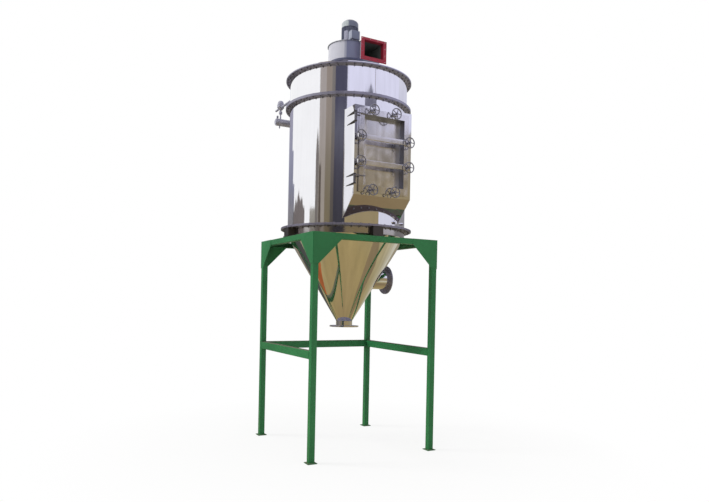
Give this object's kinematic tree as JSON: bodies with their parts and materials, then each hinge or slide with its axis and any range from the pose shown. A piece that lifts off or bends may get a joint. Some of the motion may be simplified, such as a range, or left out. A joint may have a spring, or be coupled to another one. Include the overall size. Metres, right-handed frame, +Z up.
{
  "type": "pulse-jet dust collector",
  "caption": "Round stainless pulse-jet dust collector on a green four-legged stand, with a conical hopper, hinged access door, roof fan and compressed-air header.",
  "frame": {"origin": "middle of the stand at floor level", "axes": "+Z up, -Y out of the access door, +X towards the dusty-air inlet"},
  "size_m": [1.5, 1.827, 4.738],
  "materials": {
    "green_paint": "gloss",
    "mirror_stainless": "mirror polished",
    "satin_stainless": "satin",
    "dull_stainless": "dull",
    "dark_iron": "satin",
    "grey_paint": "satin",
    "red_paint": "satin",
    "felt": "needle felt",
    "gasket_rubber": "matte"
  },
  "bodies": {
    "collector": {"base_plates": "green_paint", "legs": "green_paint", "top_beams": "green_paint", "cross_braces": "green_paint", "gusset_plates": "green_paint", "support_lugs": "dull_stainless", "hopper": "mirror_stainless", "discharge_neck": "mirror_stainless", "inlet_duct": "mirror_stainless", "hopper_flange_ring": "dull_stainless", "filter_shell": "mirror_stainless", "middle_flange_ring": "dull_stainless", "tube_sheet": "dull_stainless", "filter_bags": "felt", "clean_air_chamber": "mirror_stainless", "top_flange_ring": "dull_stainless", "roof_plate": "mirror_stainless", "access_housing": "mirror_stainless", "hinge_ears": "dark_iron", "hinge_pins": "dark_iron", "fan_neck": "grey_paint", "fan_scroll": "grey_paint", "fan_outlet_flange": "red_paint", "fan_impeller": "dark_iron", "motor": "grey_paint", "motor_cowl": "grey_paint", "terminal_box": "grey_paint", "air_header": "dull_stainless", "header_brackets": "dull_stainless", "pulse_valves": "dull_stainless", "blow_pipes": "dull_stainless"},
    "door": {"door_panel": "satin_stainless", "door_gasket": "gasket_rubber", "clamp_bar_upper": "satin_stainless", "clamp_bar_lower": "satin_stainless", "hinge_arms": "dark_iron"},
    "wheel_1": {"hand_wheel_1": "dark_iron"},
    "wheel_2": {"hand_wheel_2": "dark_iron"},
    "wheel_3": {"hand_wheel_3": "dark_iron"},
    "wheel_4": {"hand_wheel_4": "dark_iron"},
    "wheel_5": {"hand_wheel_5": "dark_iron"},
    "wheel_6": {"hand_wheel_6": "dark_iron"},
    "wheel_7": {"hand_wheel_7": "dark_iron"},
    "wheel_8": {"hand_wheel_8": "dark_iron"}
  },
  "joints": [
    {"name": "door_hinge", "type": "hinge", "parent": "collector", "child": "door", "pos_m": [-0.344, -0.8205, 3.1], "axis": [0, 0, -1], "range_deg": [0, 110]},
    {"name": "wheel_1_turn", "type": "hinge", "parent": "door", "child": "wheel_1", "pos_m": [-0.297, -0.866, 3.2195], "axis": [0, -1, 0], "continuous": true},
    {"name": "wheel_2_turn", "type": "hinge", "parent": "door", "child": "wheel_2", "pos_m": [-0.297, -0.866, 2.9665], "axis": [0, -1, 0], "continuous": true},
    {"name": "wheel_3_turn", "type": "hinge", "parent": "door", "child": "wheel_3", "pos_m": [0.268, -0.866, 3.2195], "axis": [0, -1, 0], "continuous": true},
    {"name": "wheel_4_turn", "type": "hinge", "parent": "door", "child": "wheel_4", "pos_m": [0.268, -0.866, 2.9665], "axis": [0, -1, 0], "continuous": true},
    {"name": "wheel_5_turn", "type": "hinge", "parent": "door", "child": "wheel_5", "pos_m": [-0.155, -0.866, 3.49], "axis": [0, -1, 0], "continuous": true},
    {"name": "wheel_6_turn", "type": "hinge", "parent": "door", "child": "wheel_6", "pos_m": [0.103, -0.866, 3.49], "axis": [0, -1, 0], "continuous": true},
    {"name": "wheel_7_turn", "type": "hinge", "parent": "door", "child": "wheel_7", "pos_m": [-0.155, -0.866, 2.697], "axis": [0, -1, 0], "continuous": true},
    {"name": "wheel_8_turn", "type": "hinge", "parent": "door", "child": "wheel_8", "pos_m": [0.103, -0.866, 2.697], "axis": [0, -1, 0], "continuous": true}
  ]
}
